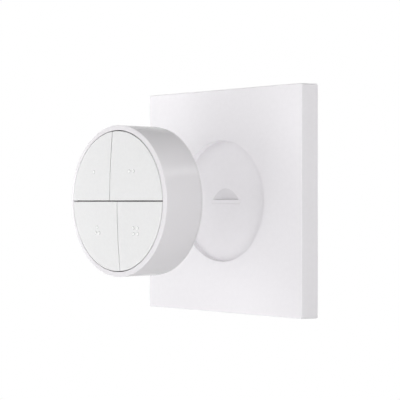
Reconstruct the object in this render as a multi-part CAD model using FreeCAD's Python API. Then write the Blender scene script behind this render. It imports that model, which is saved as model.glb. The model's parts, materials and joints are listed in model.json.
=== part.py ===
"""Wireless wall switch: a round four-button remote with a turning dial ring, and its square wall plate.

The remote is held by magnets in the shallow round recess of the plate. It is drawn lifted straight off
the plate. Millimetres, +Z up, the face looks along -Y. The origin is the centre of the plate's back face,
which lies on the wall. Along the remote, depth is counted from the front plane of its dial ring.
"""
import FreeCAD, Part
import math
import os

V = FreeCAD.Vector
AXIS = V(0, 1, 0)

# Wall plate cover
plate_side = 80.5
plate_draft = 0.25
plate_corner = 0.8
plate_front_edge = 0.2
plate_back_edge = 0.3
plate_front_wall = 2.0
plate_skirt_wall = 1.8
recess_depth = 2.2
recess_lip_edge = 0.15
recess_foot_edge = 1.6
recess_floor_wall = 1.5
recess_side_wall = 1.5
corner_post_radius = 2.0
corner_post_inset = 6.0

# Half-moon pocket in the recess, and the key on the remote that enters it
pocket_width = 14.6
pocket_rise = 4.2
pocket_depth = 1.5
pocket_base_height = 0.5
pocket_band_height = 1.45
pocket_band_depth = 0.35
pocket_wall = 1.2
pocket_boss_wall = 2.0
key_clearance = 0.3

# Wall bracket behind the cover
bracket_thickness = 2.0
bracket_gap = 0.4
bracket_pocket_gap = 1.0
bracket_rim_height = 1.0
bracket_rim_wall = 1.2
slot_spacing = 60.0
slot_width = 4.2
slot_length = 9.0
pad_height = 14.0
pad_thickness = 0.8
pad_margin = 5.8

# Snap tongues of the bracket and the ribs that they catch
tongue_width = 12.0
tongue_wall = 1.3
tongue_hook_reach = 0.6
tongue_hook_height = 0.85
tongue_clearance = 0.15
snap_rib_length = 16.0
snap_rib_reach = 0.6
snap_rib_thickness = 1.0
snap_rib_gap = 0.2

# Steel keeper ring under the recess floor
keeper_boss_gap = 0.5
keeper_magnet_margin = 1.0
keeper_thickness = 1.2
keeper_rim_gap = 0.3
keeper_rim_wall = 1.2
keeper_rim_height = 1.1

# Where the remote is
docked_gap = 0.5
dock_floor_gap = 0.3
dock_side_gap = 0.35
lift_off = 31.2

# Dial ring
dial_radius = 25.55
dial_wall = 1.4
dial_overhang = 3.75
dial_lip_width = 1.65
dial_lip_depth = 2.0
dial_front_edge = 0.4
dial_rear_edge = 0.15
dial_inner_edge = 0.15
dial_end_play = 0.1
dial_rear_gap = 0.1
running_clearance = 0.05

# Magnetic code ring inside the dial
code_ring_wall = 1.4
code_ring_width = 2.6
code_ring_lead = 0.8

# Base shell of the remote
base_flange_step = 0.05
base_flange_thickness = 0.9
base_flange_edge = 0.5
base_wall_gap = 1.6
base_wall = 1.4
base_floor = 1.8
battery_opening_gap = 0.6
glide_ring_width = 1.5

# Buttons
button_gap = 0.3
seam_shift = 2.0
button_crown = 1.5
button_skin = 1.3
button_side_wall = 1.2
button_skirt_depth = 1.4
button_edge = 0.2
button_travel = 0.5
actuator_radius = 1.6
guide_pin_radius = 1.1
guide_clearance = 0.1
guide_lug_reach = 0.5
guide_lug_height = 0.65
guide_lug_gap = 0.05
guide_inner_spot = (7.5, 4.5)
guide_seam_offset = 5.2
guide_rim_offset = 5.15

# Where each button is pressed, and the raised dots there that count the buttons
press_inward_x = 1.7
press_inward_z = 1.9
dot_diameter = 1.0
dot_height = 0.25
dot_pitch = 1.86

# Button frame
frame_thickness = 1.5
frame_skirt_length = 1.4
frame_post_radius = 2.3
frame_post_length = 3.0

# Circuit board and what it carries
board_side_gap = 0.4
board_thickness = 1.0
board_hole_gap = 0.2
switch_side = 4.6
switch_height = 1.6
stem_radius = 1.0
stem_length = 1.5
stem_height = 0.8
stem_clearance = 0.1
radio_size = (10.0, 8.0, 1.8)
radio_post_gap = 3.4
chip_size = (6.0, 6.0, 0.9)
chip_z = -3.5
crystal_size = (3.2, 2.5, 0.8)
crystal_chip_gap = 1.75
antenna_size = (5.5, 1.8, 0.8)
antenna_x = -6.8
antenna_rim_offset = 3.9
capacitor_size = (1.6, 0.8, 0.8)
capacitor_chip_gap = 0.6
capacitor_pitch = 2.2
capacitor_rows = 3
sensor_size = (2.9, 1.6, 1.1)
sensor_rim_offset = 2.3
sensor_angles = (35.0, 55.0)

# Battery
cell_radius = 10.0
cell_thickness = 3.2
cell_cap_step = 1.2
cell_cap_height = 0.4
holder_clearance = 0.15
holder_wall = 1.45
holder_floor = 0.7
holder_rim_drop = 0.2
contact_thickness = 0.3
contact_width = 3.0
contact_length = 10.0
contact_leg_radius = 0.4
contact_leg_offset = 4.0
finger_overlap = 1.8
finger_foot = 2.0
finger_gap = 0.1
finger_room = 2.6
finger_angle = -45.0

# Rear cover
cover_magnet_radius = 3.0
cover_magnet_thickness = 1.8
cover_magnet_circle = 13.5
cover_edge_relief = 0.4
cell_post_side_gap = 2.2
cell_post_wall = 1.4
cell_post_gap = 0.3

# Screws
case_screw_rim_offset = 2.0
case_screw_radius = 0.9
case_screw_head_radius = 1.8
case_screw_head_height = 1.2
case_screw_head_gap = 0.3
case_screw_bite = 2.4
case_screw_boss_radius = 2.6
cover_screw_rim_offset = 3.25
cover_screw_radius = 0.9
cover_screw_head_radius = 1.7
cover_screw_head_height = 1.1
cover_screw_bite = 4.2
cover_screw_boss_radius = 2.2
screw_clearance = 0.1
driver_slot_width = 0.5
driver_slot_length = 2.4
driver_slot_depth = 0.4

# The dial ring and the recess, worked out from the sizes above
dial_bore_radius = dial_radius - dial_wall
lip_radius = dial_radius - dial_lip_width
button_radius = lip_radius - button_gap
bearing_radius = dial_bore_radius - running_clearance
code_ring_inner_radius = dial_bore_radius - code_ring_wall
recess_radius = dial_radius - dial_overhang
cover_radius = recess_radius - dock_side_gap
cover_edge = recess_foot_edge - cover_edge_relief
crown_sphere_radius = (button_radius ** 2 + button_crown ** 2) / (2 * button_crown)

# Radii inside the remote
base_flange_radius = dial_radius - base_flange_step
base_wall_radius = dial_bore_radius - base_wall_gap
base_inner_radius = base_wall_radius - base_wall
board_radius = base_inner_radius - board_side_gap
battery_opening_radius = cell_radius + battery_opening_gap
holder_inner_radius = cell_radius + holder_clearance
holder_outer_radius = holder_inner_radius + holder_wall
cell_post_radius = cell_radius - finger_overlap - cell_post_side_gap
guide_reach = button_radius - guide_rim_offset
guide_pin_spots = [guide_inner_spot, (guide_seam_offset, guide_reach), (guide_reach, guide_seam_offset)]

# Depths behind the front plane of the dial ring, from front to back
frame_depth = dial_lip_depth + dial_end_play
frame_back_depth = frame_depth + frame_thickness
base_wall_start = frame_back_depth + frame_skirt_length
board_depth = frame_back_depth + frame_post_length
board_back_depth = board_depth + board_thickness
code_ring_start = board_depth - code_ring_lead
switch_top_depth = board_depth - switch_height
stem_top_depth = switch_top_depth - stem_height
holder_floor_depth = board_back_depth + holder_floor
cell_front_depth = holder_floor_depth + contact_thickness
cell_back_depth = cell_front_depth + cell_thickness
holder_rim_depth = cell_back_depth - holder_rim_drop
finger_back_depth = cell_back_depth + contact_thickness
floor_front_depth = finger_back_depth + finger_room
rear_depth = floor_front_depth + base_floor
flange_front_depth = rear_depth - base_flange_thickness
dial_length = flange_front_depth - dial_rear_gap
cover_thickness = docked_gap + recess_depth - dock_floor_gap
cover_back_depth = rear_depth + cover_thickness

# Places along Y, from the wall to the front of the remote
bracket_front = -bracket_thickness
pocket_back = bracket_front - bracket_pocket_gap
recess_floor = pocket_back - pocket_wall - pocket_depth
plate_front = recess_floor - recess_depth
plate_inner_front = plate_front + plate_front_wall
cup_back = recess_floor + recess_floor_wall
rib_back = bracket_front - bracket_rim_height - snap_rib_gap
rib_front = rib_back - snap_rib_thickness
hook_back = rib_front - tongue_clearance
front_plane = plate_front - docked_gap - lift_off - rear_depth

# Widths of the wall plate and its bracket
plate_half = plate_side / 2
front_half = plate_half - plate_draft
skirt_inner = front_half - plate_skirt_wall
bracket_half = skirt_inner - bracket_gap
pad_length = 2 * (bracket_half - pad_margin)
pad_offset = bracket_half - pad_margin - pad_height / 2
pocket_boss_radius = pocket_width / 2 + pocket_boss_wall
keeper_inner_radius = pocket_boss_radius + keeper_boss_gap
keeper_outer_radius = cover_magnet_circle + cover_magnet_radius + keeper_magnet_margin

# Places of the screws, the magnets and the four quarters
case_screw_circle = board_radius - case_screw_rim_offset
cover_screw_offset = (cover_radius - cover_screw_rim_offset) * math.sqrt(0.5)
quarter_turn_spots = [(1, 0), (0, 1), (-1, 0), (0, -1)]
case_screw_spots = [(x * case_screw_circle, z * case_screw_circle) for x, z in quarter_turn_spots]
magnet_spots = [(x * cover_magnet_circle, z * cover_magnet_circle) for x, z in quarter_turn_spots]
cover_screw_spots = [(cover_screw_offset, cover_screw_offset), (-cover_screw_offset, -cover_screw_offset)]
quadrants = {"one": (-1, 1), "two": (1, 1), "three": (-1, -1), "four": (1, -1)}


def at(depth):
    """The Y of a depth behind the front plane of the dial ring."""
    return front_plane + depth


def disc(radius, y_from, y_to, x=0.0, z=0.0):
    """A round solid along Y."""
    return Part.makeCylinder(radius, y_to - y_from, V(x, y_from, z), AXIS)


def ring(outer, inner, y_from, y_to, x=0.0, z=0.0):
    """A round solid along Y with a hole through it."""
    return disc(outer, y_from, y_to, x, z).cut(disc(inner, y_from, y_to, x, z))


def block(x_from, x_to, y_from, y_to, z_from, z_to):
    """A box between two corners."""
    return Part.makeBox(x_to - x_from, y_to - y_from, z_to - z_from, V(x_from, y_from, z_from))


def chip(size, place, y_from, y_to):
    """A box with a width and height, centred on a place of the board."""
    x, z = place
    return block(x - size[0] / 2, x + size[0] / 2, y_from, y_to, z - size[1] / 2, z + size[1] / 2)


def joined(first, others):
    """One solid from a first one and those that it meets."""
    return first.fuse(others).removeSplitter()


def circles_at(shape, radius, y):
    """The round edges of a radius in the plane of a Y."""
    found = []
    for edge in shape.Edges:
        if not isinstance(edge.Curve, Part.Circle):
            continue
        same_radius = abs(edge.Curve.Radius - radius) < 1e-4
        on_axis = math.hypot(edge.Curve.Center.x, edge.Curve.Center.z) < 1e-4
        if same_radius and on_axis and abs(edge.Curve.Center.y - y) < 1e-4:
            found.append(edge)
    return found


def edges_in_plane(shape, y):
    """The edges that lie in the plane of a Y."""
    return [e for e in shape.Edges if abs(e.BoundBox.YMin - y) < 1e-4 and abs(e.BoundBox.YMax - y) < 1e-4]


def edges_through(shape, y_from, y_to):
    """The edges that run from the plane of one Y to the plane of another."""
    return [e for e in shape.Edges if abs(e.BoundBox.YMin - y_from) < 1e-4 and abs(e.BoundBox.YMax - y_to) < 1e-4]


def turned(shape, angle):
    """A copy turned round the Y axis by an angle in degrees."""
    copy = shape.copy()
    copy.rotate(V(0, 0, 0), AXIS, angle)
    return copy


def half_moon(face_y, inset):
    """The scooped space of the half-moon pocket behind a face, drawn in by an inset on all its sides.

    A round cutter enters the face at the top of the moon and runs down to its full depth at the base.
    """
    half_width = pocket_width / 2
    cutter_radius = (half_width ** 2 + pocket_depth ** 2) / (2 * pocket_depth)
    slope = math.hypot(pocket_rise, pocket_depth)
    down_slope = V(0, pocket_depth / slope, -pocket_rise / slope)
    away = V(0, -pocket_rise / slope, -pocket_depth / slope)
    deepest = V(0, recess_floor + pocket_depth, pocket_base_height)
    start = deepest + away * cutter_radius - down_slope * pocket_width
    cutter = Part.makeCylinder(cutter_radius - inset, 2 * pocket_width, start, down_slope)
    base = pocket_base_height + inset
    room = block(-half_width, half_width, face_y, recess_floor + 2 * pocket_depth, base, base + 2 * pocket_rise)
    return cutter.common(room)


def wall_plate():
    """The square cover, drafted towards its front, with the round recess, its pocket, corner posts and snap ribs."""
    body = Part.makeWedge(-front_half, plate_front, -front_half, -plate_half, -plate_half,
                          front_half, 0, front_half, plate_half, plate_half)
    body = body.makeFillet(plate_corner, edges_through(body, plate_front, 0))
    body = body.makeChamfer(plate_front_edge, edges_in_plane(body, plate_front))
    body = body.makeChamfer(plate_back_edge, edges_in_plane(body, 0))
    body = body.cut(block(-skirt_inner, skirt_inner, plate_inner_front, 0, -skirt_inner, skirt_inner))
    cup = disc(recess_radius + recess_side_wall, plate_inner_front, cup_back)
    boss = disc(pocket_boss_radius, plate_inner_front, pocket_back)
    keeper_rim_inner = keeper_outer_radius + keeper_rim_gap
    rim = ring(keeper_rim_inner + keeper_rim_wall, keeper_rim_inner, cup_back, cup_back + keeper_rim_height)
    posts = []
    post_place = front_half - corner_post_inset
    for x_side, z_side in quadrants.values():
        x = x_side * post_place
        z = z_side * post_place
        posts.append(disc(corner_post_radius, plate_inner_front, bracket_front, x, z))
    ribs = []
    for quarter in range(4):
        rib = block(-snap_rib_length / 2, snap_rib_length / 2, rib_front, rib_back,
                    skirt_inner - snap_rib_reach, skirt_inner)
        ribs.append(turned(rib, 90 * quarter))
    body = joined(body, [cup, boss, rim] + posts + ribs)
    recess = disc(recess_radius, plate_front, recess_floor)
    recess = recess.makeFillet(recess_foot_edge, circles_at(recess, recess_radius, recess_floor))
    body = body.cut(recess)
    body = body.makeChamfer(recess_lip_edge, circles_at(body, recess_radius, plate_front))
    band = block(-pocket_width / 2, pocket_width / 2, recess_floor, recess_floor + pocket_band_depth,
                 pocket_base_height - pocket_band_height, pocket_base_height)
    return body.cut(half_moon(recess_floor, 0)).cut(band)


def wall_bracket():
    """The plate that is screwed or stuck to the wall, with its rim, slots and snap tongues."""
    body = block(-bracket_half, bracket_half, bracket_front, 0, -bracket_half, bracket_half)
    rim_front = bracket_front - bracket_rim_height
    rim_inner = bracket_half - bracket_rim_wall
    rim = block(-bracket_half, bracket_half, rim_front, bracket_front, -bracket_half, bracket_half)
    rim = rim.cut(block(-rim_inner, rim_inner, rim_front, bracket_front, -rim_inner, rim_inner))
    tongues = []
    tongue_outer = skirt_inner - snap_rib_reach - tongue_clearance
    hook_front = hook_back - tongue_hook_height
    for quarter in range(4):
        tongue = block(-tongue_width / 2, tongue_width / 2, hook_front, bracket_front,
                       tongue_outer - tongue_wall, tongue_outer)
        hook = block(-tongue_width / 2, tongue_width / 2, hook_front, hook_back,
                     tongue_outer, tongue_outer + tongue_hook_reach)
        tongues += [turned(tongue, 90 * quarter), turned(hook, 90 * quarter)]
    body = joined(body, [rim] + tongues)
    for side in (-1, 1):
        x = side * slot_spacing / 2
        flat = (slot_length - slot_width) / 2
        body = body.cut(block(x - flat, x + flat, bracket_front, 0, -slot_width / 2, slot_width / 2))
        for end in (-flat, flat):
            body = body.cut(disc(slot_width / 2, bracket_front, 0, x + end, 0))
        body = body.cut(adhesive_pad(side))
    return body


def adhesive_pad(side):
    """One foam pad, let into the back of the bracket above or below its slots."""
    return chip((pad_length, pad_height), (0, side * pad_offset), -pad_thickness, 0)


def adhesive_pads():
    """Both foam pads."""
    return Part.makeCompound([adhesive_pad(-1), adhesive_pad(1)])


def keeper_ring():
    """The steel ring behind the recess floor that the magnets pull on."""
    return ring(keeper_outer_radius, keeper_inner_radius, cup_back, cup_back + keeper_thickness)


def dial_ring():
    """The turning ring: its front lip frames the buttons and its wall is the side of the remote."""
    body = disc(dial_radius, at(0), at(dial_length))
    body = body.cut(disc(lip_radius, at(0), at(dial_lip_depth)))
    body = body.cut(disc(dial_bore_radius, at(dial_lip_depth), at(dial_length)))
    body = body.makeChamfer(dial_front_edge, circles_at(body, dial_radius, at(0)))
    body = body.makeChamfer(dial_inner_edge, circles_at(body, lip_radius, at(0)))
    return body.makeChamfer(dial_rear_edge, circles_at(body, dial_radius, at(dial_length)))


def code_ring():
    """The magnetised ring glued inside the dial, read by the two sensors."""
    code_ring_end = code_ring_start + code_ring_width
    return ring(dial_bore_radius, code_ring_inner_radius, at(code_ring_start), at(code_ring_end))


def glide_ring():
    """The slippery ring on the base that the rear of the dial turns on."""
    return ring(bearing_radius, base_wall_radius, at(flange_front_depth - glide_ring_width), at(flange_front_depth))


def base_shell():
    """The fixed shell behind the dial: flange, cup wall, floor with the battery opening, and bosses."""
    flange = disc(base_flange_radius, at(flange_front_depth), at(rear_depth))
    flange = flange.makeChamfer(base_flange_edge, circles_at(flange, base_flange_radius, at(rear_depth)))
    cup = disc(base_wall_radius, at(base_wall_start), at(rear_depth))
    cup = cup.cut(disc(base_inner_radius, at(base_wall_start), at(floor_front_depth)))
    case_bosses = []
    for x, z in case_screw_spots:
        case_bosses.append(disc(case_screw_boss_radius, at(board_back_depth), at(floor_front_depth), x, z))
    cover_bosses = []
    for x, z in cover_screw_spots:
        boss_start = rear_depth - cover_screw_bite - screw_clearance
        cover_bosses.append(disc(cover_screw_boss_radius, at(boss_start), at(floor_front_depth), x, z))
    body = joined(flange, [cup] + case_bosses + cover_bosses)
    body = body.cut(disc(battery_opening_radius, at(floor_front_depth), at(rear_depth)))
    for x, z in case_screw_spots:
        body = body.cut(disc(case_screw_radius + screw_clearance, at(board_back_depth), at(rear_depth), x, z))
        head_room = case_screw_head_radius + case_screw_head_gap
        body = body.cut(disc(head_room, at(rear_depth - case_screw_head_height), at(rear_depth), x, z))
    for x, z in cover_screw_spots:
        body = body.cut(disc(cover_screw_radius, at(rear_depth - cover_screw_bite), at(rear_depth), x, z))
    return body


def screw(radius, head_radius, head_height, y_tip, y_head, x, z):
    """A screw driven from behind: a shank, a flat head and a driver cross."""
    body = disc(radius, y_tip, y_head, x, z).fuse(disc(head_radius, y_head, y_head + head_height, x, z))
    y_back = y_head + head_height
    for size in ((driver_slot_length, driver_slot_width), (driver_slot_width, driver_slot_length)):
        body = body.cut(chip(size, (x, z), y_back - driver_slot_depth, y_back))
    return body.removeSplitter()


def case_screws():
    """Four screws from the base, through the board, into the posts of the button frame."""
    y_head = at(rear_depth - case_screw_head_height)
    y_tip = at(board_depth - case_screw_bite)
    screws = []
    for x, z in case_screw_spots:
        screws.append(screw(case_screw_radius, case_screw_head_radius, case_screw_head_height, y_tip, y_head, x, z))
    return Part.makeCompound(screws)


def cover_screws():
    """Two screws that hold the rear cover on the base."""
    y_head = at(cover_back_depth - cover_screw_head_height)
    y_tip = at(rear_depth - cover_screw_bite)
    screws = []
    for x, z in cover_screw_spots:
        screws.append(screw(cover_screw_radius, cover_screw_head_radius, cover_screw_head_height,
                            y_tip, y_head, x, z))
    return Part.makeCompound(screws)


def rear_cover():
    """The round foot that enters the recess, with magnet pockets, a post behind the cell and the key."""
    body = disc(cover_radius, at(rear_depth), at(cover_back_depth))
    body = body.makeChamfer(cover_edge, circles_at(body, cover_radius, at(cover_back_depth)))
    post_start = finger_back_depth + cell_post_gap
    post = ring(cell_post_radius, cell_post_radius - cell_post_wall, at(post_start), at(rear_depth))
    docked_face = recess_floor - dock_floor_gap
    key = half_moon(docked_face, key_clearance)
    key.translate(V(0, -lift_off, 0))
    body = joined(body, [post, key])
    for x, z in magnet_spots:
        body = body.cut(disc(cover_magnet_radius, at(rear_depth), at(rear_depth + cover_magnet_thickness), x, z))
    for x, z in cover_screw_spots:
        hole = cover_screw_radius + screw_clearance
        head_room = cover_screw_head_radius + screw_clearance
        body = body.cut(disc(hole, at(rear_depth), at(cover_back_depth), x, z))
        body = body.cut(disc(head_room, at(cover_back_depth - cover_screw_head_height), at(cover_back_depth), x, z))
    return body


def dock_magnets():
    """Four disc magnets in the rear cover."""
    magnets = []
    for x, z in magnet_spots:
        magnets.append(disc(cover_magnet_radius, at(rear_depth), at(rear_depth + cover_magnet_thickness), x, z))
    return Part.makeCompound(magnets)


def guide_spots(quadrant):
    """The guide pin places of one button."""
    x_side, z_side = quadrant
    return [(x_side * x, z_side * z) for x, z in guide_pin_spots]


def seam_x(quadrant):
    """The X of the upright seam beside a button: left of the axis in the upper half, right of it in the lower."""
    return -quadrant[1] * seam_shift


def press_centre(quadrant):
    """Where one button is pressed: its dots are there, and its switch is behind them."""
    x_side, z_side = quadrant
    x = seam_x(quadrant) / 2 + x_side * (button_radius / 2 - press_inward_x)
    return x, z_side * (button_radius / 2 - press_inward_z)


def button_frame():
    """The carrier behind the buttons: front bearing of the dial, guides of the pins, posts for the screws."""
    body = disc(bearing_radius, at(frame_depth), at(frame_back_depth))
    skirt = ring(base_wall_radius, base_inner_radius, at(frame_back_depth), at(base_wall_start))
    posts = []
    for x, z in case_screw_spots:
        posts.append(disc(frame_post_radius, at(frame_back_depth), at(board_depth), x, z))
    body = joined(body, [skirt] + posts)
    for quadrant in quadrants.values():
        for x, z in guide_spots(quadrant):
            body = body.cut(disc(guide_pin_radius + guide_clearance, at(frame_depth), at(frame_back_depth), x, z))
        x, z = press_centre(quadrant)
        body = body.cut(disc(actuator_radius + guide_clearance, at(frame_depth), at(frame_back_depth), x, z))
    for x, z in case_screw_spots:
        body = body.cut(disc(case_screw_radius, at(board_depth - case_screw_bite), at(board_depth), x, z))
    return body


def crown_depth(radius):
    """The depth of the domed button face at a distance from the axis."""
    drop = crown_sphere_radius - math.sqrt(crown_sphere_radius ** 2 - radius ** 2)
    return drop - button_crown


def face_blank(radius, skin, depth_to):
    """The domed disc that the buttons are parted from, with its dome set back by a skin."""
    sphere = Part.makeSphere(crown_sphere_radius - skin, V(0, at(crown_sphere_radius - button_crown), 0))
    return disc(radius, at(-2 * button_crown), at(depth_to)).common(sphere)


def quarter_room(quadrant, inset):
    """The space of one button between the staggered seams, drawn in by an inset."""
    x_side, z_side = quadrant
    reach = 2 * dial_radius
    x_edge = seam_x(quadrant) + x_side * (button_gap / 2 + inset)
    z_edge = z_side * (button_gap / 2 + inset)
    x_from, x_to = sorted((x_edge, x_side * reach))
    z_from, z_to = sorted((z_edge, z_side * reach))
    return block(x_from, x_to, at(-reach), at(reach), z_from, z_to)


def dot_places(count):
    """The offsets of the dots: one, a pair, a triangle or a square."""
    half = dot_pitch / 2
    layouts = {
        1: [(0, 0)],
        2: [(-half, 0), (half, 0)],
        3: [(0, half), (-half, -half), (half, -half)],
        4: [(-half, half), (half, half), (-half, -half), (half, -half)],
    }
    return layouts[count]


def button(name, count):
    """One quarter button: domed skin, side walls, actuator, hooked guide pins and raised dots."""
    quadrant = quadrants[name]
    x_side = quadrant[0]
    body = face_blank(button_radius, 0, button_skirt_depth).common(quarter_room(quadrant, 0))
    dome = max(body.Faces, key=lambda face: face.Area if isinstance(face.Surface, Part.Sphere) else 0)
    body = body.makeChamfer(button_edge, dome.Edges)
    hollow = face_blank(button_radius - button_side_wall, button_skin, button_skirt_depth)
    body = body.cut(hollow.common(quarter_room(quadrant, button_side_wall)))
    press_x, press_z = press_centre(quadrant)
    root = crown_depth(math.hypot(press_x, press_z)) + button_skin / 2
    posts = [disc(actuator_radius, at(root), at(stem_top_depth), press_x, press_z)]
    lug_front = frame_back_depth + guide_lug_gap
    lug_back = lug_front + guide_lug_height
    for x, z in guide_spots(quadrant):
        root = crown_depth(math.hypot(x, z)) + button_skin / 2
        posts.append(disc(guide_pin_radius, at(root), at(lug_back), x, z))
        lug_x = x + x_side * guide_lug_reach
        lug_half = guide_pin_radius / 2
        x_from, x_to = sorted((x, lug_x + x_side * guide_pin_radius))
        posts.append(block(x_from, x_to, at(lug_front), at(lug_back), z - lug_half, z + lug_half))
    ball_radius = ((dot_diameter / 2) ** 2 + dot_height ** 2) / (2 * dot_height)
    for x_step, z_step in dot_places(count):
        x = press_x + x_step
        z = press_z + z_step
        top = crown_depth(math.hypot(x, z)) - dot_height
        posts.append(Part.makeSphere(ball_radius, V(x, at(top + ball_radius), z)))
    return joined(body, posts)


def switch_bodies():
    """The cases of the four push switches, each with the well of its stem."""
    cases = []
    for quadrant in quadrants.values():
        x, z = press_centre(quadrant)
        case = chip((switch_side, switch_side), (x, z), at(switch_top_depth), at(board_depth))
        well_depth = stem_top_depth + stem_length + button_travel + stem_clearance
        cases.append(case.cut(disc(stem_radius + stem_clearance, at(switch_top_depth), at(well_depth), x, z)))
    return Part.makeCompound(cases)


def switch_stem(name):
    """The stem of one push switch, which moves with the button on it."""
    x, z = press_centre(quadrants[name])
    return disc(stem_radius, at(stem_top_depth), at(stem_top_depth + stem_length), x, z)


def circuit_board():
    """The round board, held between the posts of the frame and the bosses of the base."""
    body = disc(board_radius, at(board_depth), at(board_back_depth))
    for x, z in case_screw_spots:
        body = body.cut(disc(case_screw_radius + board_hole_gap, at(board_depth), at(board_back_depth), x, z))
    return body


def on_front(size, place):
    """A component on the button side of the board."""
    return chip(size, place, at(board_depth - size[2]), at(board_depth))


def controller_chip():
    """The controller, midway between the two lower switches."""
    return on_front(chip_size, (seam_shift / 2, chip_z))


def crystal_can():
    """The can of the crystal below the controller."""
    z = chip_z - chip_size[1] / 2 - crystal_chip_gap - crystal_size[1] / 2
    return on_front(crystal_size, (seam_shift / 2, z))


def radio_module():
    """The radio's can, midway between the two upper switches and below the upper post."""
    z = case_screw_circle - frame_post_radius - radio_post_gap - radio_size[1] / 2
    return on_front(radio_size, (-seam_shift / 2, z))


def chip_antenna():
    """The small antenna near the board's upper left edge."""
    return on_front(antenna_size, (antenna_x, board_radius - antenna_rim_offset))


def capacitors():
    """Two columns of small capacitors beside the controller."""
    pieces = []
    column = chip_size[0] / 2 + capacitor_chip_gap + capacitor_size[0] / 2
    lowest = chip_z - capacitor_pitch * (capacitor_rows - 1) / 2
    for side in (-1, 1):
        for row in range(capacitor_rows):
            place = (seam_shift / 2 + side * column, lowest + row * capacitor_pitch)
            pieces.append(on_front(capacitor_size, place))
    return Part.makeCompound(pieces)


def dial_sensors():
    """Two magnetic sensors on the battery side of the board, near the code ring."""
    sensors = []
    sensor_back = at(board_back_depth + sensor_size[2])
    for angle in sensor_angles:
        sensor = chip(sensor_size, (board_radius - sensor_rim_offset, 0), at(board_back_depth), sensor_back)
        sensors.append(turned(sensor, -angle))
    return Part.makeCompound(sensors)


def battery_holder():
    """The cup on the board that holds the coin cell, with holes for the legs of the contact under it."""
    body = disc(holder_outer_radius, at(board_back_depth), at(holder_rim_depth))
    body = body.cut(disc(holder_inner_radius, at(holder_floor_depth), at(holder_rim_depth)))
    for side in (-1, 1):
        leg_x = side * contact_leg_offset
        body = body.cut(disc(contact_leg_radius, at(board_back_depth), at(holder_floor_depth), leg_x, 0))
    return body


def contact_negative():
    """The spring strip under the cell, with two legs to the board."""
    body = chip((contact_length, contact_width), (0, 0), at(holder_floor_depth), at(cell_front_depth))
    legs = []
    for side in (-1, 1):
        leg_x = side * contact_leg_offset
        legs.append(disc(contact_leg_radius, at(board_back_depth), at(holder_floor_depth), leg_x, 0))
    return joined(body, legs)


def contact_positive():
    """The folded strip beside the holder whose finger lies on the rim of the cell."""
    z_low = holder_outer_radius + finger_gap
    z_high = z_low + contact_thickness
    half = contact_width / 2
    foot = block(-half, half, at(board_back_depth), at(board_back_depth + contact_thickness),
                 z_low, z_high + finger_foot)
    riser = block(-half, half, at(board_back_depth), at(finger_back_depth), z_low, z_high)
    finger = block(-half, half, at(cell_back_depth), at(finger_back_depth), cell_radius - finger_overlap, z_high)
    return turned(joined(foot, [riser, finger]), finger_angle)


def coin_cell():
    """The coin cell, its can slightly wider than its front cap."""
    can_front = at(cell_front_depth + cell_cap_height)
    can = disc(cell_radius, can_front, at(cell_back_depth))
    return joined(can, [disc(cell_radius - cell_cap_step, at(cell_front_depth), can_front)])


parts = {
    "wall_plate": wall_plate(),
    "wall_bracket": wall_bracket(),
    "keeper_ring": keeper_ring(),
    "adhesive_pads": adhesive_pads(),
    "base_shell": base_shell(),
    "rear_cover": rear_cover(),
    "dock_magnets": dock_magnets(),
    "cover_screws": cover_screws(),
    "case_screws": case_screws(),
    "glide_ring": glide_ring(),
    "button_frame": button_frame(),
    "circuit_board": circuit_board(),
    "controller_chip": controller_chip(),
    "radio_module": radio_module(),
    "crystal_can": crystal_can(),
    "chip_antenna": chip_antenna(),
    "capacitors": capacitors(),
    "dial_sensors": dial_sensors(),
    "switch_bodies": switch_bodies(),
    "battery_holder": battery_holder(),
    "contact_negative": contact_negative(),
    "contact_positive": contact_positive(),
    "coin_cell": coin_cell(),
    "dial_ring": dial_ring(),
    "code_ring": code_ring(),
}
for number, name in enumerate(quadrants, start=1):
    parts["button_" + name] = button(name, number)
    parts["switch_stem_" + name] = switch_stem(name)

os.makedirs("parts", exist_ok=True)
for node, shape in parts.items():
    shape.exportStep(os.path.join("parts", node + ".step"))
    print(node, len(shape.Solids), round(shape.Volume, 3), shape.isValid())
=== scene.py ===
import json
import math

import bmesh
import bpy
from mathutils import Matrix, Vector
from mathutils.geometry import tessellate_polygon


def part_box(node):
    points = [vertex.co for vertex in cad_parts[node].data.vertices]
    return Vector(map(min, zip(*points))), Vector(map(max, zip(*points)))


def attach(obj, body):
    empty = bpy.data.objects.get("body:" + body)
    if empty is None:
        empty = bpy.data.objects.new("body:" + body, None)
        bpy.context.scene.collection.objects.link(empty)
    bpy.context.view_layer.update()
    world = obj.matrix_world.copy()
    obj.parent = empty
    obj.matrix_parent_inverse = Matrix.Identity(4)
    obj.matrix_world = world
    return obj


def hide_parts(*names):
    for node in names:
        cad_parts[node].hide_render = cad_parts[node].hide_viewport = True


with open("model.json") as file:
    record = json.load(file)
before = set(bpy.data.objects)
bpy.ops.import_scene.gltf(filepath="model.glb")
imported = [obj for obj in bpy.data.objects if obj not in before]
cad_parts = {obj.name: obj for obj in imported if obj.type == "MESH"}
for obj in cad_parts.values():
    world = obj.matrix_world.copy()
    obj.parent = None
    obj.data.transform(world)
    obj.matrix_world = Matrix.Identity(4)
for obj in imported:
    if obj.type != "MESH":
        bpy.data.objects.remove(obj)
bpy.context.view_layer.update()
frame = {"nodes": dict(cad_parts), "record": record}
mm = 0.001

# Camera, fitted to the plate's edges and the remote's outlines in the photograph
camera_place = Vector((373.607, -356.287, 0.0)) * mm
camera_turn = math.radians(47.856)
picture_width_px = 400
focal_length_px = 1420.8
horizon_below_centre_px = 1.06
sensor_width_mm = 36.0
nearest_seen = 10.0

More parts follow.
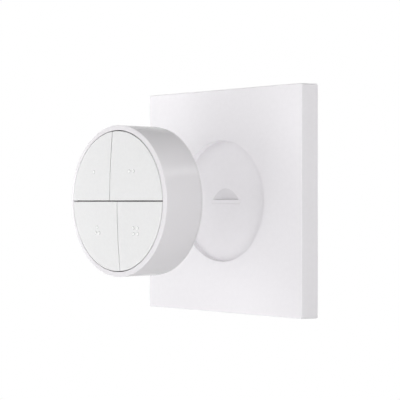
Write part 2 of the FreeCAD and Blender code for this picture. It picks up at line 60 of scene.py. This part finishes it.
# Soft lamps round the object: azimuth, elevation, power in watts
lamps = [
    (65, -10, 3.45),
    (-85, -35, 1.7),
    (-60, 15, 1.6),
    (-85, -10, 1.4),
    (-10, -35, 0.97),
    (-10, -10, 0.87),
    (90, 15, 0.5),
    (15, -10, 0.65),
    (40, 40, 0.85),
    (-35, 15, 0.6),
    (15, 15, 0.5),
    (140, 40, 0.4),
    (90, 65, 0.22),
    (180, 10, 3.5),
    (180, 80, 0.2),
]
lamp_size = 450.0
lamp_distance = 800.0
# Two more, each with its own width, height and distance: the strip is mirrored in the dial's side, and
# the near lamp brightens the plate's upper left corner
strip_lamp = (146.5, 33.5, 0.7, lamp_size, 110.0, lamp_distance)
near_lamp = (-73, 30.5, 0.022, 60.0, 60.0, 158.0)
lamp_target = (0.0, -30.0, 0.0)
floor_level = -850.0
floor_side = 6000.0
floor_glow = 0.75

# The wall plate, in millimetres
plate_low, plate_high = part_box("wall_plate")
plate_half = plate_high.x / mm
plate_front = plate_low.y / mm
plate_draft = 0.25
plate_corner = 0.8
plate_inner_corner = 0.2
plate_front_edge = 0.3
plate_back_edge = 0.3
plate_front_wall = 2.0
plate_skirt_wall = 1.8
recess_radius = 21.8
recess_depth = 2.2
recess_lip_edge = 0.05
recess_foot_edge = 0.4
recess_side_wall = 1.5
recess_floor_wall = 1.5
keeper_rim_inner = 17.8
keeper_rim_wall = 1.2
keeper_rim_height = 1.1
pocket_boss_radius = 9.3
pocket_back = -3.0
corner_post_radius = 2.0
corner_post_edge = 0.3
corner_post_inset = 6.0
corner_post_root = 0.5
bracket_front = -2.0
snap_rib_front = -4.2
snap_rib_back = -3.2
snap_rib_reach = 0.6
snap_rib_half = 8.0
snap_rib_root = 0.3

# The half-moon pocket in the recess, and the low band under it
pocket_half = 7.3
pocket_rise = 4.2
pocket_depth = 1.5
pocket_base = 0.5
pocket_fade = 1.1
pocket_band_height = 1.45
pocket_band_depth = 0.08
pocket_edge = 0.12
pocket_margin = 0.6
# Depth behind the floor past which the pocket's slope takes the darker colour of painted shade
pocket_painted_shade_depth = 0.03

# The dial ring
dial_low, dial_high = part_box("dial_ring")
dial_radius = dial_high.x / mm
dial_front = dial_low.y / mm
dial_rear = dial_high.y / mm
dial_wall = 1.4
dial_lip_width = 1.65
dial_lip_depth = 2.0
dial_front_drop = 0.35
dial_front_edge = 0.15
dial_rear_edge = 0.15
dial_lip_edge = 0.05

# The buttons
seam_gap = 0.38
ring_gap = 0.3
button_radius = dial_radius - dial_lip_width - ring_gap
button_rim_rise = 0.2
button_crown = 1.3
button_edge = 0.2
button_corner = 0.35
button_least_corner = 0.08
button_side_wall = 1.2
button_skin = 1.3
button_skirt_depth = 1.4
seam_shift = 2.0
press_inward_x = 1.7
press_inward_z = 1.9
dot_radius = 0.64
dot_height = 0.38
dot_slope_power = 1.3
# Width of the darker ring round each dot's edge, which is painted shade
dot_painted_shade_width = 0.15
dot_pitch_x = 2.1
dot_pitch_z = 1.84
dot_field_radius = 2.4
quadrants = {"one": (-1, 1), "two": (1, 1), "three": (-1, -1), "four": (1, -1)}

# How finely the pieces are divided: steps of curves, sides of circles, and spacing in millimetres
pin_sides = 24
plate_back_sides = 128
recess_sides = 256
dial_sides = 288
pocket_step = 0.2
pocket_slope_step = 0.12
seam_steps = 36
rim_steps = 56
button_corner_steps = 6
button_edge_steps = 6
button_face_steps = 26
button_hollow_shares = (1.0, 0.66, 0.33)
dot_step = 0.035
dot_field_centre = 0.04
sharp_edge = math.radians(32.0)
merge_distance = 0.0001

# What all finishes share: detail of the noise, the part of it that makes the clouds, and change of gloss
cloud_detail = 3.0
cloud_from = 0.3
cloud_to = 0.7
gloss_detail = 2.0
gloss_change = 0.1
grain_detail = 4.0


def rounded(corners, steps=6):
    """A closed path in a plane whose corners are (u, v, radius), with the rounded ones drawn as arcs."""
    path = []
    for index, (u, v, radius) in enumerate(corners):
        here = Vector((u, v))
        if radius == 0:
            path.append(here)
            continue
        back = (Vector(corners[index - 1][:2]) - here).normalized()
        ahead = (Vector(corners[(index + 1) % len(corners)][:2]) - here).normalized()
        half_angle = back.angle(ahead) / 2
        centre = here + (back + ahead).normalized() * (radius / math.sin(half_angle))
        start = here + back * (radius / math.tan(half_angle)) - centre
        end = here + ahead * (radius / math.tan(half_angle)) - centre
        turn = start.angle_signed(end)
        for step in range(steps + 1):
            angle = -turn * step / steps
            x = start.x * math.cos(angle) - start.y * math.sin(angle)
            y = start.x * math.sin(angle) + start.y * math.cos(angle)
            path.append(centre + Vector((x, y)))
    return path


def add_loop(mesh, points):
    """Vertices at points that are given in millimetres."""
    return [mesh.verts.new(Vector(point) * mm) for point in points]


def add_strip(mesh, first, second):
    """Quads between two closed loops of as many vertices."""
    count = len(first)
    for index in range(count):
        ahead = (index + 1) % count
        mesh.faces.new((first[index], first[ahead], second[ahead], second[index]))


def add_flat(mesh, outer, inner):
    """Triangles between an outer loop and an inner one in the same plane."""
    rings = [[v.co.xzy for v in outer], [v.co.xzy for v in inner]]
    vertices = outer + inner
    for corners in tessellate_polygon(rings):
        mesh.faces.new([vertices[corner] for corner in corners])


def circle(radius, y, count, x=0.0, z=0.0):
    """Points of a circle round the Y direction, from the right side upwards."""
    points = []
    for index in range(count):
        angle = 2 * math.pi * index / count
        points.append((x + radius * math.cos(angle), y, z + radius * math.sin(angle)))
    return points


def add_lathe(mesh, path, count):
    """A closed path of (radius, y) turned round the Y direction."""
    loops = [add_loop(mesh, circle(radius, y, count)) for radius, y in path]
    for index in range(len(loops)):
        add_strip(mesh, loops[index - 1], loops[index])


def add_pin(mesh, radius, edge, y_from, y_to, x, z):
    """A short round pin with bevelled and closed ends."""
    path = [
        (radius - edge, y_from),
        (radius, y_from + edge),
        (radius, y_to - edge),
        (radius - edge, y_to),
    ]
    loops = [add_loop(mesh, circle(r, y, pin_sides, x, z)) for r, y in path]
    for first, second in zip(loops, loops[1:]):
        add_strip(mesh, first, second)
    mesh.faces.new(loops[0])
    mesh.faces.new(loops[-1])


def add_box(mesh, low, high):
    """A box between two corners."""
    places = [
        (x, y, z)
        for x in (low[0], high[0])
        for y in (low[1], high[1])
        for z in (low[2], high[2])
    ]
    corners = add_loop(mesh, places)
    for face in ((0, 1, 3, 2), (4, 6, 7, 5), (0, 4, 5, 1), (2, 3, 7, 6), (0, 2, 6, 4), (1, 5, 7, 3)):
        mesh.faces.new([corners[corner] for corner in face])


def finished(mesh, name, body, slot, nodes, extra_materials=()):
    """The object of a mesh: outward faces, smooth shading between sharp edges, riding on its body.

    Faces with material index 1 or 2 take the first or second of extra_materials, which here carry painted
    shade and painted highlights.
    """
    bmesh.ops.remove_doubles(mesh, verts=mesh.verts, dist=merge_distance * mm)
    bmesh.ops.recalc_face_normals(mesh, faces=mesh.faces)
    for face in mesh.faces:
        face.smooth = True
    for edge in mesh.edges:
        edge.smooth = len(edge.link_faces) == 2 and edge.calc_face_angle(0.0) < sharp_edge
    data = bpy.data.meshes.new(name)
    mesh.to_mesh(data)
    mesh.free()
    piece = bpy.data.objects.new(name, data)
    bpy.context.scene.collection.objects.link(piece)
    for finish in (slot, *extra_materials):
        data.materials.append(materials[finish])
    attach(piece, body)
    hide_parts(*nodes)


def rounded_square(half, corner, y, side_steps=20, corner_steps=8):
    """Points of a square with rounded corners, in the plane of a Y."""
    points = []
    for quarter in range(4):
        angle = math.pi / 2 * quarter
        along = Vector((-math.sin(angle), math.cos(angle)))
        out = Vector((math.cos(angle), math.sin(angle)))
        flat = half - corner
        for step in range(side_steps):
            place = out * half + along * (flat * (2 * step / side_steps - 1))
            points.append((place.x, y, place.y))
        for step in range(corner_steps):
            turn = math.pi / 2 * step / corner_steps
            place = (out + along) * flat + (out * math.cos(turn) + along * math.sin(turn)) * corner
            points.append((place.x, y, place.y))
    return points


def smooth_step(value):
    """From 0 to 1, level at both ends."""
    value = min(max(value, 0.0), 1.0)
    return value * value * (3 - 2 * value)


def spread(start, end, step):
    """Evenly spread numbers from a start to an end, about a step apart."""
    count = max(1, round((end - start) / step))
    return [start + (end - start) * index / count for index in range(count + 1)]


def graded(start, *runs):
    """Numbers from a start through runs of (end, step), each evenly spread."""
    numbers = [start]
    for end, step in runs:
        numbers += spread(numbers[-1], end, step)[1:]
    return numbers


def pocket_depth_at(x, z):
    """How far the half-moon pocket and the band below it lie behind the recess floor.

    The pocket is the cut of an inclined round cutter, deepest along its level lower edge.
    """
    cutter_radius = (pocket_half ** 2 + pocket_depth ** 2) / (2 * pocket_depth)
    slope = math.hypot(pocket_rise, pocket_depth) / pocket_rise
    bulge = cutter_radius - math.sqrt(max(cutter_radius ** 2 - x ** 2, 0.0))
    scoop = pocket_depth * (pocket_base + pocket_rise - z) / pocket_rise - bulge * slope
    scoop = max(scoop, 0.0) ** pocket_fade / pocket_depth ** (pocket_fade - 1)
    scoop *= smooth_step((z - pocket_base) / pocket_edge + 0.5)
    scoop *= smooth_step((pocket_half + pocket_margin / 2 - abs(x)) / (pocket_margin / 2))
    scoop *= smooth_step((pocket_base + pocket_rise + pocket_margin - z) / (pocket_margin / 2))
    band = pocket_band_depth * smooth_step((pocket_half - abs(x)) / pocket_edge + 0.5)
    band *= smooth_step((z - pocket_base + pocket_band_height) / pocket_edge + 0.5)
    band *= smooth_step((pocket_base - z) / pocket_edge + 0.5)
    return scoop + band


def add_pocket(mesh, floor_y):
    """The patch of the recess floor with the pocket, finer along its edges. Its border is returned."""
    side = pocket_half + pocket_margin
    inner = pocket_half - pocket_edge
    fine = pocket_edge / 4
    columns = graded(-side, (-inner, fine), (inner, pocket_step), (side, fine))
    band_low = pocket_base - pocket_band_height
    rows = graded(
        band_low - pocket_margin,
        (band_low - pocket_edge, pocket_step),
        (band_low + pocket_edge, fine),
        (pocket_base - pocket_edge, pocket_step),
        (pocket_base + pocket_edge, fine),
        (pocket_base + pocket_rise + pocket_margin, pocket_slope_step),
    )
    grid = []
    for z in rows:
        grid.append(add_loop(mesh, [(x, floor_y + pocket_depth_at(x, z), z) for x in columns]))
    for lower, upper in zip(grid, grid[1:]):
        for index in range(len(columns) - 1):
            face = mesh.faces.new((lower[index], lower[index + 1], upper[index + 1], upper[index]))
            middle = face.calc_center_median() / mm
            # Painted shade: faces of the pocket's slope above its base, deeper than a set depth, take a
            # darker colour that stands in for the shade in the pocket
            if middle.z > pocket_base and middle.y > floor_y + pocket_painted_shade_depth:
                face.material_index = 1
    right_side = [line[-1] for line in grid]
    left_side = [line[0] for line in grid]
    return grid[0][:-1] + right_side[:-1] + grid[-1][:0:-1] + left_side[:0:-1]


def build_plate():
    """The square cover: drafted sides, rounded edges, the recess with its pocket, and the open back."""
    mesh = bmesh.new()
    front_half = plate_half - plate_draft
    inner_half = front_half - plate_skirt_wall
    inner_front = plate_front + plate_front_wall
    # The first and last places of a section only guide the rounding of their neighbours
    section = rounded([
        (inner_half, 0.0, 0.0),
        (plate_half, 0.0, plate_back_edge),
        (front_half, plate_front, plate_front_edge),
        (inner_half, plate_front, 0.0),
    ])
    loops = []
    for y in (inner_front, 0.0):
        loops.append(add_loop(mesh, rounded_square(inner_half, plate_inner_corner, y)))
    for half, y in section[1:-1]:
        side_half = plate_half + (front_half - plate_half) * y / plate_front
        corner = max(plate_corner - (side_half - half), plate_inner_corner)
        loops.append(add_loop(mesh, rounded_square(half, corner, y)))
    for first, second in zip(loops, loops[1:]):
        add_strip(mesh, first, second)
    # Behind the recess: its cup, the rim round the keeper ring and the boss behind the pocket
    floor = plate_front + recess_depth
    cup_back = floor + recess_floor_wall
    rim_outer = keeper_rim_inner + keeper_rim_wall
    back = [
        (recess_radius + recess_side_wall, inner_front),
        (recess_radius + recess_side_wall, cup_back),
        (rim_outer, cup_back),
        (rim_outer, cup_back + keeper_rim_height),
        (keeper_rim_inner, cup_back + keeper_rim_height),
        (keeper_rim_inner, cup_back),
        (pocket_boss_radius, cup_back),
        (pocket_boss_radius, pocket_back),
    ]
    back_loops = [add_loop(mesh, circle(radius, y, plate_back_sides)) for radius, y in back]
    for first, second in zip(back_loops, back_loops[1:]):
        add_strip(mesh, first, second)
    add_flat(mesh, loops[0], back_loops[0])
    mesh.faces.new(back_loops[-1])
    # Posts that rest on the bracket, and ribs for its snap tongues
    post = front_half - corner_post_inset
    post_root = inner_front - corner_post_root
    for x_side, z_side in quadrants.values():
        x, z = x_side * post, z_side * post
        add_pin(mesh, corner_post_radius, corner_post_edge, post_root, bracket_front, x, z)
    for side in (-1, 1):
        near, far = sorted((side * (inner_half - snap_rib_reach), side * (inner_half + snap_rib_root)))
        add_box(mesh, (near, snap_rib_front, -snap_rib_half), (far, snap_rib_back, snap_rib_half))
        add_box(mesh, (-snap_rib_half, snap_rib_front, near), (snap_rib_half, snap_rib_back, far))
    # The recess in the front
    recess = rounded([
        (recess_radius + recess_lip_edge * 2, plate_front, 0.0),
        (recess_radius, plate_front, recess_lip_edge),
        (recess_radius, floor, recess_foot_edge),
        (0.0, floor, 0.0),
    ])
    circles = [add_loop(mesh, circle(radius, y, recess_sides)) for radius, y in recess[1:-1]]
    for first, second in zip(circles, circles[1:]):
        add_strip(mesh, first, second)
    add_flat(mesh, loops[-1], circles[0])
    border = add_pocket(mesh, floor)
    add_flat(mesh, circles[-1], border)
    finished(mesh, "plate_cover", "wall_mount", "plate_white", ["wall_plate"], ["pocket_painted_shade"])


def build_dial():
    """The dial ring, turned from its section."""
    mesh = bmesh.new()
    lip = dial_radius - dial_lip_width
    bore = dial_radius - dial_wall
    section = rounded([
        (dial_radius, dial_rear, dial_rear_edge),
        (dial_radius, dial_front + dial_front_drop, dial_front_edge),
        (lip, dial_front, dial_lip_edge),
        (lip, dial_front + dial_lip_depth, 0.0),
        (bore, dial_front + dial_lip_depth, 0.0),
        (bore, dial_rear, 0.0),
    ], steps=8)
    add_lathe(mesh, section, dial_sides)
    finished(mesh, "dial", "dial", "dial_white", ["dial_ring"])


def crown_y(x, z):
    """The Y of the domed button faces."""
    sphere = (button_radius ** 2 + button_crown ** 2) / (2 * button_crown)
    return dial_front - button_rim_rise - button_crown + sphere - math.sqrt(sphere ** 2 - x ** 2 - z ** 2)


def seam_x(quadrant):
    """The X of a button's upright seam: left of the middle above, right of it below."""
    return -quadrant[1] * seam_shift


def press_centre(quadrant):
    """The place of a button's dots, where a finger presses it, as (x, z)."""
    x = seam_x(quadrant) / 2 + quadrant[0] * (button_radius / 2 - press_inward_x)
    return Vector((x, quadrant[1] * (button_radius / 2 - press_inward_z)))


def softened(back, here, ahead, reach):
    """The corner of an outline between its neighbours, drawn as a curve that starts a reach before it."""
    before = here + (back - here).normalized() * reach
    after = here + (ahead - here).normalized() * reach
    curve = []
    for step in range(button_corner_steps + 1):
        share = step / button_corner_steps
        curve.append(before * (1 - share) ** 2 + here * 2 * share * (1 - share) + after * share ** 2)
    return curve


def quarter_outline(quadrant, inset):
    """The outline of one button, drawn in by an inset: the level seam, the rim and the upright seam."""
    x_side, z_side = quadrant
    x_edge = seam_x(quadrant) + x_side * (seam_gap / 2 + inset)
    z_edge = z_side * (seam_gap / 2 + inset)
    radius = button_radius - inset
    rim_x = x_side * math.sqrt(radius ** 2 - z_edge ** 2)
    rim_z = z_side * math.sqrt(radius ** 2 - x_edge ** 2)
    start = math.atan2(z_edge, rim_x)
    end = math.atan2(rim_z, x_edge)
    # The short way round the rim
    if end - start > math.pi:
        end -= 2 * math.pi
    if start - end > math.pi:
        end += 2 * math.pi
    inner = Vector((x_edge, z_edge))
    reach = max(button_corner - inset, button_least_corner)
    arc = []
    for angle in spread(start, end, (end - start) / rim_steps):
        arc.append(Vector((radius * math.cos(angle), radius * math.sin(angle))))
    level = [inner.lerp(arc[0], index / seam_steps) for index in range(1, seam_steps)]
    upright = [arc[-1].lerp(inner, index / seam_steps) for index in range(1, seam_steps)]
    outline = softened(upright[-1], inner, level[0], reach) + level
    outline += softened(level[-1], arc[0], arc[1], reach) + arc[1:-1]
    outline += softened(arc[-2], arc[-1], upright[0], reach) + upright
    return outline


def dot_places(count):
    """The offsets of the dots: one, a pair, a triangle or a square."""
    across = dot_pitch_x / 2
    up = dot_pitch_z / 2
    return {
        1: [(0, 0)],
        2: [(-across, 0), (across, 0)],
        3: [(0, up), (-across, -up), (across, -up)],
        4: [(-across, up), (across, up), (-across, -up), (across, -up)],
    }[count]


def build_button(name, count):
    """One quarter button: domed face with raised dots, soft edges, side walls and hollow underside."""
    quadrant = quadrants[name]
    mesh = bmesh.new()
    centre = press_centre(quadrant)
    dots = [centre + Vector(offset) for offset in dot_places(count)]

    def face_y(place):
        """The Y of the face with its dots."""
        y = crown_y(place.x, place.y)
        for dot in dots:
            share = (place - dot).length / dot_radius
            if share < 1:
                y -= dot_height * (1 - share ** dot_slope_power)
        return y

    # From the bottom up the side, over the soft edge and inwards across the face
    bottom = dial_front + button_skirt_depth
    outline = quarter_outline(quadrant, 0.0)
    loops = [add_loop(mesh, [(p.x, bottom, p.y) for p in outline])]
    for step in range(button_edge_steps + 1):
        angle = math.pi / 2 * step / button_edge_steps
        ring = quarter_outline(quadrant, button_edge * (1 - math.cos(angle)))
        drop = button_edge * (1 - math.sin(angle))
        loops.append(add_loop(mesh, [(p.x, crown_y(p.x, p.y) + drop, p.y) for p in ring]))
    rim = quarter_outline(quadrant, button_edge)
    for step in range(1, button_face_steps):
        share = 1 - step / button_face_steps
        ring = []
        for p in rim:
            spoke = p - centre
            reach = dot_field_radius + (spoke.length - dot_field_radius) * share
            ring.append(centre + spoke.normalized() * reach)
        loops.append(add_loop(mesh, [(p.x, face_y(p), p.y) for p in ring]))
    for reach in spread(dot_field_radius, dot_field_centre, -dot_step):
        ring = [centre + (p - centre).normalized() * reach for p in rim]
        loops.append(add_loop(mesh, [(p.x, face_y(p), p.y) for p in ring]))
    for first, second in zip(loops, loops[1:]):
        add_strip(mesh, first, second)
    mesh.faces.new(loops[-1])
    # Painted light: each dot's middle takes a brighter colour as a painted highlight, and a ring round
    # its edge a darker colour as painted shade
    for face in mesh.faces:
        middle = face.calc_center_median() / mm
        off_centre = min((middle.xz - dot).length for dot in dots)
        if off_centre < dot_radius:
            face.material_index = 1 if off_centre < dot_radius - dot_painted_shade_width else 2
    # The hollow underside
    hollow = quarter_outline(quadrant, button_side_wall)
    inner = [add_loop(mesh, [(p.x, bottom, p.y) for p in hollow])]
    for share in button_hollow_shares:
        ring = [centre.lerp(p, share) for p in hollow]
        inner.append(add_loop(mesh, [(p.x, crown_y(p.x, p.y) + button_skin, p.y) for p in ring]))
    add_strip(mesh, loops[0], inner[0])
    for first, second in zip(inner, inner[1:]):
        add_strip(mesh, first, second)
    mesh.faces.new(inner[-1])
    node = "button_" + name
    finished(mesh, "quarter_" + name, node, "button_white", [node], ["dot_painted_highlight", "dot_painted_shade"])


materials = {}


def add_material(name, colour, roughness, colour_change, cloud_size, grain_size, grain_depth,
                 metallic=0.0, coat=0.0, specular=0.5):
    """A moulded or metal finish: soft clouds in its colour, an uneven gloss and a fine grain."""
    made = bpy.data.materials.new(name)
    made.use_nodes = True
    nodes = made.node_tree.nodes
    links = made.node_tree.links
    shader = nodes["Principled BSDF"]
    shader.inputs["Metallic"].default_value = metallic
    shader.inputs["Coat Weight"].default_value = coat
    shader.inputs["Specular IOR Level"].default_value = specular
    place = nodes.new("ShaderNodeTexCoord")

    def noise(size, detail):
        """The output of a noise texture, with its size in millimetres."""
        texture = nodes.new("ShaderNodeTexNoise")
        texture.inputs["Scale"].default_value = 1 / (size * mm)
        texture.inputs["Detail"].default_value = detail
        links.new(place.outputs["Object"], texture.inputs["Vector"])
        return texture.outputs["Fac"]

    clouds = nodes.new("ShaderNodeValToRGB")
    clouds.color_ramp.elements[0].position = cloud_from
    clouds.color_ramp.elements[1].position = cloud_to
    clouds.color_ramp.elements[0].color = [c * (1 - colour_change) for c in colour] + [1.0]
    clouds.color_ramp.elements[1].color = [min(c * (1 + colour_change), 1.0) for c in colour] + [1.0]
    links.new(noise(cloud_size, cloud_detail), clouds.inputs["Fac"])
    links.new(clouds.outputs["Color"], shader.inputs["Base Color"])
    gloss = nodes.new("ShaderNodeMapRange")
    gloss.inputs["To Min"].default_value = roughness * (1 - gloss_change)
    gloss.inputs["To Max"].default_value = min(roughness * (1 + gloss_change), 1.0)
    links.new(noise(cloud_size / 4, gloss_detail), gloss.inputs["Value"])
    links.new(gloss.outputs["Result"], shader.inputs["Roughness"])
    relief = nodes.new("ShaderNodeBump")
    relief.inputs["Distance"].default_value = grain_depth * mm
    relief.inputs["Strength"].default_value = 1.0
    links.new(noise(grain_size, grain_detail), relief.inputs["Height"])
    links.new(relief.outputs["Normal"], shader.inputs["Normal"])
    materials[name] = made
    return made


# Name, colour, roughness and change of colour, then in millimetres the size of the clouds and the size
# and depth of the grain
add_material("plate_white", (0.858, 0.842, 0.866), 0.5, 0.01, 1.6, 0.25, 0.01, specular=0.3)
# Painted shade: a darker colour for the pocket's slope, standing in for the shade in it
add_material("pocket_painted_shade", (0.755, 0.741, 0.762), 0.6, 0.01, 1.6, 0.25, 0.02, specular=0.3)
add_material("button_white", (0.8, 0.8, 0.802), 0.6, 0.014, 1.0, 0.22, 0.02)
# Painted highlight for the dots' middles and painted shade for the rings round their edges
add_material("dot_painted_highlight", (0.95, 0.95, 0.952), 0.45, 0.01, 1.0, 0.22, 0.005)
add_material("dot_painted_shade", (0.5, 0.5, 0.502), 0.45, 0.01, 1.0, 0.22, 0.005)
add_material("dial_white", (0.83, 0.812, 0.834), 0.15, 0.006, 10.0, 0.3, 0.001, specular=0.12)
add_material("shell_white", (0.82, 0.81, 0.82), 0.4, 0.01, 8.0, 0.25, 0.006)
add_material("bracket_grey", (0.55, 0.56, 0.58), 0.5, 0.03, 8.0, 0.25, 0.01)
add_material("pad_foam", (0.85, 0.85, 0.82), 0.9, 0.06, 1.5, 0.5, 0.12)
add_material("keeper_steel", (0.6, 0.61, 0.63), 0.35, 0.05, 4.0, 0.1, 0.004, metallic=1.0)
add_material("magnet_nickel", (0.72, 0.7, 0.67), 0.18, 0.03, 3.0, 0.1, 0.001, metallic=1.0)
add_material("screw_steel", (0.62, 0.62, 0.63), 0.3, 0.06, 1.0, 0.08, 0.003, metallic=1.0)
add_material("board_green", (0.02, 0.14, 0.06), 0.3, 0.15, 1.5, 0.3, 0.01, coat=0.4)
add_material("chip_black", (0.02, 0.02, 0.022), 0.5, 0.2, 0.8, 0.1, 0.006)
add_material("can_metal", (0.68, 0.68, 0.67), 0.3, 0.05, 1.5, 0.1, 0.003, metallic=1.0)
add_material("ceramic", (0.55, 0.46, 0.33), 0.45, 0.08, 0.6, 0.08, 0.004)
add_material("stem_black", (0.03, 0.03, 0.03), 0.4, 0.15, 0.8, 0.1, 0.004)
add_material("holder_black", (0.035, 0.035, 0.037), 0.45, 0.15, 2.0, 0.15, 0.008)
add_material("contact_metal", (0.72, 0.58, 0.3), 0.28, 0.08, 1.5, 0.1, 0.003, metallic=1.0)
add_material("cell_steel", (0.7, 0.7, 0.69), 0.2, 0.04, 3.0, 0.12, 0.002, metallic=1.0)
add_material("code_ring_dark", (0.05, 0.045, 0.045), 0.7, 0.2, 1.5, 0.12, 0.01)
add_material("glide_cream", (0.72, 0.7, 0.62), 0.4, 0.04, 4.0, 0.2, 0.004)


def dress_nodes():
    """Each CAD node that stays in view gets the material of its slot."""
    for entry in frame["record"]["subparts"]:
        node = frame["nodes"][entry["node"]]
        node.data.materials.clear()
        node.data.materials.append(materials[entry["material_slot"]])


def add_camera():
    """The level camera of the photograph, with its picture shifted to put the horizon in place."""
    data = bpy.data.cameras.new("camera")
    data.sensor_width = sensor_width_mm
    data.lens = sensor_width_mm * focal_length_px / picture_width_px
    data.shift_y = horizon_below_centre_px / picture_width_px
    data.clip_start = nearest_seen * mm
    camera = bpy.data.objects.new("camera", data)
    bpy.context.scene.collection.objects.link(camera)
    camera.location = camera_place
    camera.rotation_euler = (math.pi / 2, 0.0, camera_turn)
    bpy.context.scene.camera = camera


def add_lamp(azimuth, elevation, power, width=lamp_size, height=lamp_size, distance=lamp_distance):
    """A soft lamp that faces the object. Azimuth 0 is in front and 90 is at the right."""
    data = bpy.data.lights.new("softbox", "AREA")
    data.shape = "RECTANGLE"
    data.size = width * mm
    data.size_y = height * mm
    data.energy = power
    lamp = bpy.data.objects.new("softbox", data)
    bpy.context.scene.collection.objects.link(lamp)
    turn = math.radians(azimuth)
    rise = math.radians(elevation)
    out = Vector((math.sin(turn) * math.cos(rise), -math.cos(turn) * math.cos(rise), math.sin(rise)))
    lamp.location = (Vector(lamp_target) + out * distance) * mm
    lamp.rotation_euler = (-out).to_track_quat("-Z", "Y").to_euler()
    lamp.visible_camera = False


def seen_directly(nodes, links):
    """1 where the camera looks, straight or by a mirror or glass, and 0 for light on the object."""
    path = nodes.new("ShaderNodeLightPath")
    seen = path.outputs["Is Camera Ray"]
    for ray in ("Is Glossy Ray", "Is Transmission Ray"):
        either = nodes.new("ShaderNodeMath")
        either.operation = "MAXIMUM"
        links.new(seen, either.inputs[0])
        links.new(path.outputs[ray], either.inputs[1])
        seen = either.outputs["Value"]
    return seen


def add_world():
    """A white surround for the camera and for reflections, which adds no light of its own."""
    world = bpy.data.worlds.new("world")
    world.use_nodes = True
    bpy.context.scene.world = world
    nodes = world.node_tree.nodes
    links = world.node_tree.links
    surround = nodes["Background"]
    surround.inputs["Color"].default_value = (1.0, 1.0, 1.0, 1.0)
    links.new(seen_directly(nodes, links), surround.inputs["Strength"])


def add_floor():
    """A pale floor far below the object that looks as light as the surround and still takes shadows."""
    mesh = bmesh.new()
    half = floor_side / 2
    corners = [(x * half, y * half, floor_level) for x, y in ((-1, -1), (1, -1), (1, 1), (-1, 1))]
    mesh.faces.new(add_loop(mesh, corners))
    data = bpy.data.meshes.new("floor")
    mesh.to_mesh(data)
    mesh.free()
    floor = bpy.data.objects.new("floor", data)
    bpy.context.scene.collection.objects.link(floor)
    pale = add_material("floor_pale", (0.9, 0.9, 0.9), 0.9, 0.01, 200.0, 2.0, 0.02)
    nodes = pale.node_tree.nodes
    links = pale.node_tree.links
    surface = nodes["Principled BSDF"].outputs["BSDF"]
    glow = nodes.new("ShaderNodeEmission")
    glow.inputs["Strength"].default_value = floor_glow
    both = nodes.new("ShaderNodeAddShader")
    mix = nodes.new("ShaderNodeMixShader")
    links.new(surface, both.inputs[0])
    links.new(glow.outputs["Emission"], both.inputs[1])
    links.new(seen_directly(nodes, links), mix.inputs["Fac"])
    links.new(surface, mix.inputs[1])
    links.new(both.outputs["Shader"], mix.inputs[2])
    links.new(mix.outputs["Shader"], nodes["Material Output"].inputs["Surface"])
    data.materials.append(pale)


dress_nodes()
build_plate()
build_dial()
for number, quarter in enumerate(quadrants, start=1):
    build_button(quarter, number)
add_camera()
add_world()
add_floor()
for lamp in (*lamps, strip_lamp, near_lamp):
    add_lamp(*lamp)
bpy.context.scene.view_settings.view_transform = "Standard"
